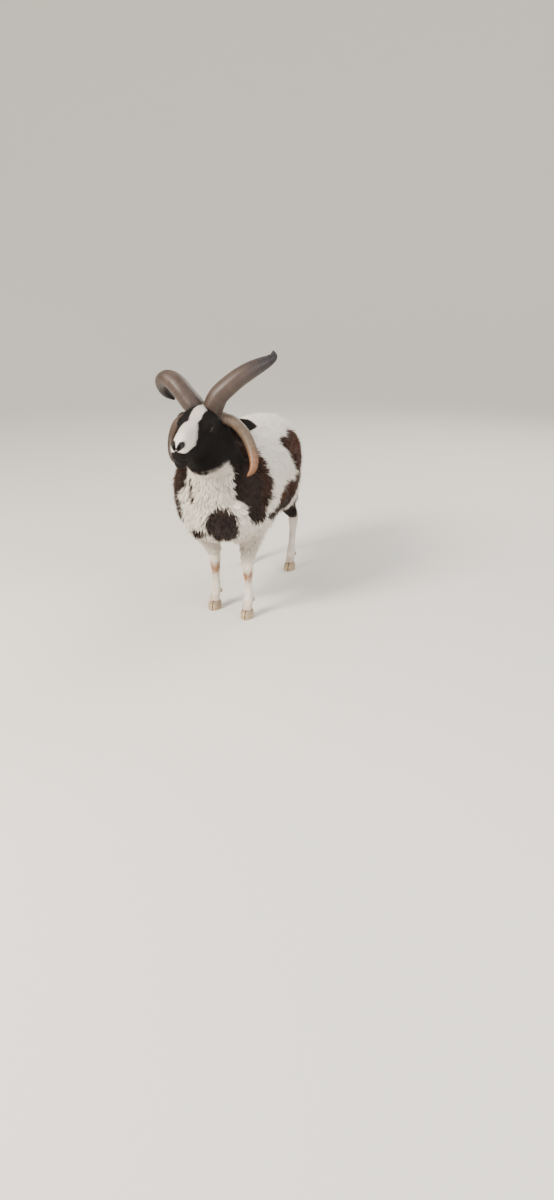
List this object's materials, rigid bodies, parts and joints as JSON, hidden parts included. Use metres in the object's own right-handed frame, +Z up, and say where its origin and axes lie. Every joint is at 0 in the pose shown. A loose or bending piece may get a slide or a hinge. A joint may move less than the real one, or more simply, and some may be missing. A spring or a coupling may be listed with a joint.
{
  "type": "four-horned ram figure",
  "caption": "Life-size standing four-horned piebald ram, head up and turned a little to its right, in full fleece, on flat hoof soles.",
  "frame": {"origin": "middle of the model's outline on the floor, between the four feet", "axes": "+Z up; the ram faces -Y, and its left side is +X; the rump is at +Y"},
  "size_m": [0.4864, 1.1662, 1.0437],
  "materials": {
    "white_wool": "crimped off-white fleece",
    "black_wool": "black-brown wool and short hair",
    "short_hair": "short close leg hair",
    "horn": "ringed grey-brown horn",
    "eye": "wet, dark brown",
    "claw": "dry hoof horn"
  },
  "bodies": {
    "root": {"claw_fore_left_inner": "claw", "claw_fore_left_outer": "claw", "claw_fore_right_inner": "claw", "claw_fore_right_outer": "claw", "claw_hind_left_inner": "claw", "claw_hind_left_outer": "claw", "claw_hind_right_inner": "claw", "claw_hind_right_outer": "claw", "dewclaw_fore_left_inner": "claw", "dewclaw_fore_left_outer": "claw", "dewclaw_fore_right_inner": "claw", "dewclaw_fore_right_outer": "claw", "dewclaw_hind_left_inner": "claw", "dewclaw_hind_left_outer": "claw", "dewclaw_hind_right_inner": "claw", "dewclaw_hind_right_outer": "claw", "ear_left": "black_wool", "ear_right": "black_wool", "eye_left": "eye", "eye_right": "eye", "head": "black_wool", "horn_lower_left": "horn", "horn_lower_right": "horn", "horn_upper_left": "horn", "horn_upper_right": "horn", "leg_fore_left": "short_hair", "leg_fore_right": "short_hair", "leg_hind_left": "short_hair", "leg_hind_right": "short_hair", "neck": "white_wool", "scrotum": "white_wool", "tail": "white_wool", "trunk": "white_wool"}
  },
  "joints": []
}
